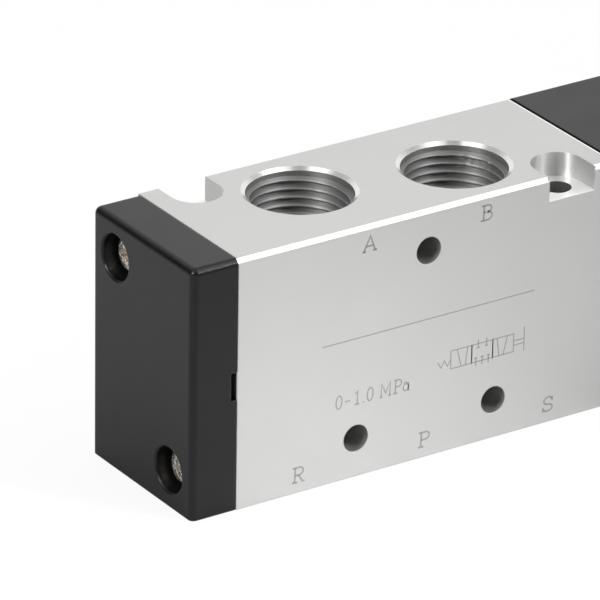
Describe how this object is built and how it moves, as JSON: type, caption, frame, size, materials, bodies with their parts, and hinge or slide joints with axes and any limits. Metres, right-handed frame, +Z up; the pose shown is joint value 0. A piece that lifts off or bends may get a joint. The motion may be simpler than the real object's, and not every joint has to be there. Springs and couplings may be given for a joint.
{
  "type": "hand lever air valve",
  "caption": "Hand lever directional air valve: block body with threaded ports, sliding spool, black end cap, and a rocking lever on a black housing.",
  "frame": {"origin": "centre of the valve body's underside", "axes": "X along the valve, +X towards the lever, Y across it with the lettered front at -Y, Z up, -Z out of the underside"},
  "size_m": [0.1097, 0.027, 0.118],
  "materials": {
    "body_aluminium": "fine satin, clear anodised",
    "black_moulding": "black moulding, fine texture, low sheen",
    "screw_steel": "nickel plated",
    "pin_steel": "ground",
    "spring_steel": "drawn wire",
    "guide_plastic": "natural turned plastic",
    "spool_aluminium": "turned",
    "seal_rubber": "black rubber",
    "hub_steel": "machined and plated",
    "rod_steel": "plated",
    "grip_plastic": "black phenolic, polished",
    "insert_brass": "turned"
  },
  "bodies": {
    "body": {"valve_body": "body_aluminium", "end_cap": "black_moulding", "end_cap_screws": "screw_steel", "lever_housing": "black_moulding", "housing_screws": "screw_steel", "stem_guide": "guide_plastic", "pivot_pin": "pin_steel", "left_spring": "spring_steel", "right_spring": "spring_steel"},
    "spool": {"spool": "spool_aluminium", "spool_seal_1": "seal_rubber", "spool_seal_2": "seal_rubber", "spool_seal_3": "seal_rubber", "spool_seal_4": "seal_rubber", "spool_seal_5": "seal_rubber", "spool_seal_6": "seal_rubber"},
    "lever": {"lever_hub": "hub_steel", "lever_rod": "rod_steel", "lock_nut": "rod_steel", "grip": "grip_plastic", "grip_insert": "insert_brass"}
  },
  "joints": [
    {"name": "lever_swing", "type": "hinge", "parent": "body", "child": "lever", "pos_m": [0.053, 0, 0.0296], "axis": [0, 1, 0], "range_deg": [-20, 20], "stiffness_Nm_per_rad": 1.8},
    {"name": "spool_slide", "type": "slide", "parent": "body", "child": "spool", "axis": [1, 0, 0], "range_m": [-0.0034, 0.0034], "deforming": ["left_spring", "right_spring"]}
  ],
  "couplings": [
    {"joint": "spool_slide", "follows": "lever_swing", "m_per_rad": -0.0096}
  ]
}
